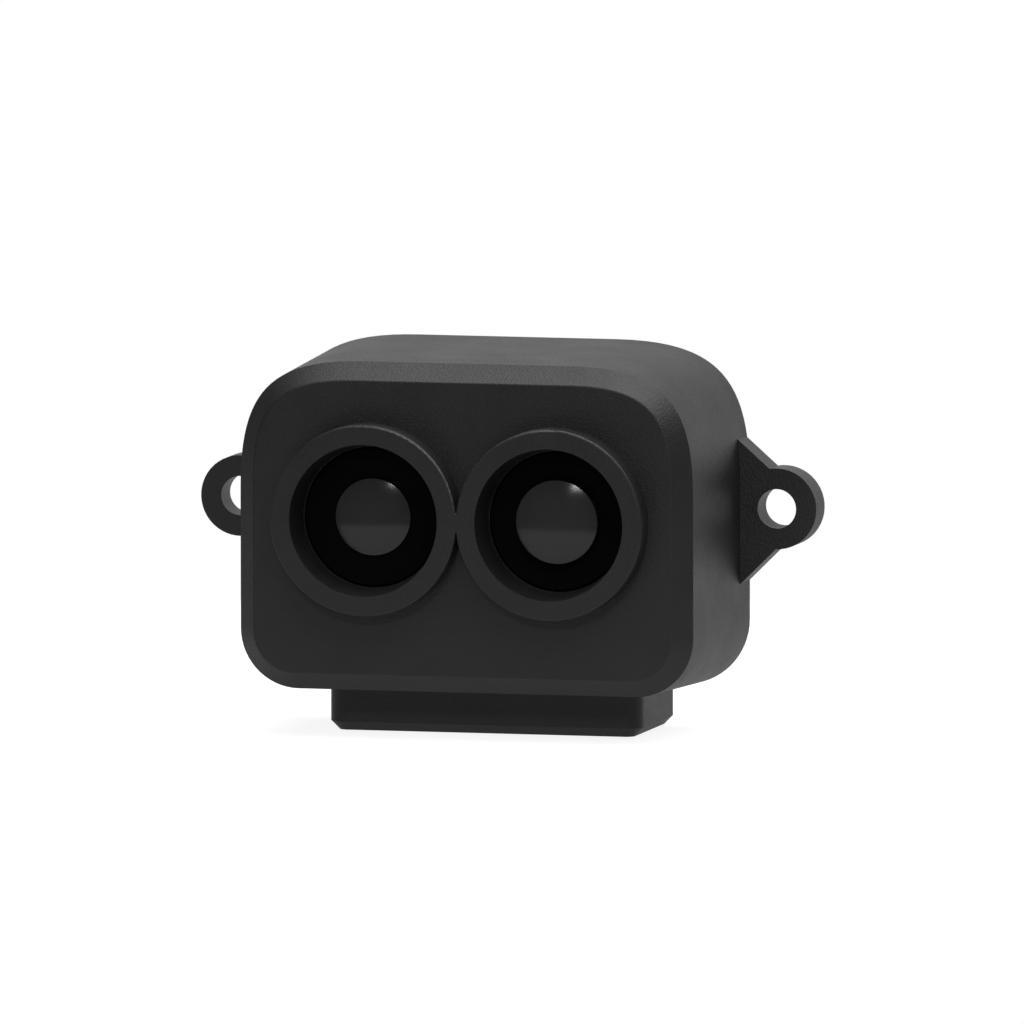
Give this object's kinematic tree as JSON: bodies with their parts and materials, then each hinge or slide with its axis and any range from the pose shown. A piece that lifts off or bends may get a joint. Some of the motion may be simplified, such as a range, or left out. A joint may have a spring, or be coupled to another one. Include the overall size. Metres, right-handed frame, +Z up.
{
  "type": "optical distance sensor",
  "caption": "Small black plastic time-of-flight distance sensor with two lensed eyes in raised rings, side mounting ears and a foot with a downward cable socket.",
  "frame": {"origin": "midway between the centres of the two ear holes, on the rear mounting plane", "axes": "+X from the left ear hole to the right one seen from the front, +Y to the rear into the mounting surface, +Z up; the sensor looks along -Y"},
  "size_m": [0.035, 0.0135, 0.0213],
  "materials": {
    "housing_plastic": "fine-grained satin, moulded black",
    "cover_plastic": "fine-grained satin, moulded black",
    "barrel_black": "deep matte black, light-trapping",
    "baffle_black": "deep matte black",
    "seal_rubber": "matte",
    "lens_dark": "dark polished, infrared-pass",
    "filter_glass": "polished, coated",
    "clear_lid": "polished",
    "screw_steel": "dark zinc plated",
    "tin_plate": "tin-plated sheet",
    "board_laminate": "solder mask, semi-gloss",
    "package_black": "moulded epoxy, matte",
    "package_ceramic": "unglazed alumina",
    "capacitor_ceramic": "tan, satin",
    "resistor_ceramic": "dark, satin",
    "ferrite": "sintered ferrite, matte",
    "socket_nylon": "natural nylon, satin",
    "pin_brass": "gold-flashed"
  },
  "bodies": {
    "root": {"front_housing": "housing_plastic", "rear_cover": "cover_plastic", "cover_gasket": "seal_rubber", "cover_screws": "screw_steel", "emitter_barrel": "barrel_black", "receiver_barrel": "barrel_black", "emitter_lens": "lens_dark", "receiver_lens": "lens_dark", "emitter_retainer": "baffle_black", "bandpass_filter": "filter_glass", "receiver_retainer": "baffle_black", "barrel_seals": "seal_rubber", "light_baffle": "baffle_black", "main_board": "board_laminate", "board_screws": "screw_steel", "laser_emitter": "package_ceramic", "laser_diffuser": "clear_lid", "receiver_chip": "package_black", "receiver_glass": "clear_lid", "shield_can": "tin_plate", "laser_driver": "package_black", "pulse_capacitors": "capacitor_ceramic", "power_inductor": "ferrite", "microcontroller": "package_black", "crystal": "tin_plate", "voltage_regulator": "package_black", "bulk_capacitor": "capacitor_ceramic", "ceramic_capacitors": "capacitor_ceramic", "chip_resistors": "resistor_ceramic", "cable_socket": "socket_nylon", "socket_pins": "pin_brass", "socket_anchors": "tin_plate"}
  },
  "joints": []
}
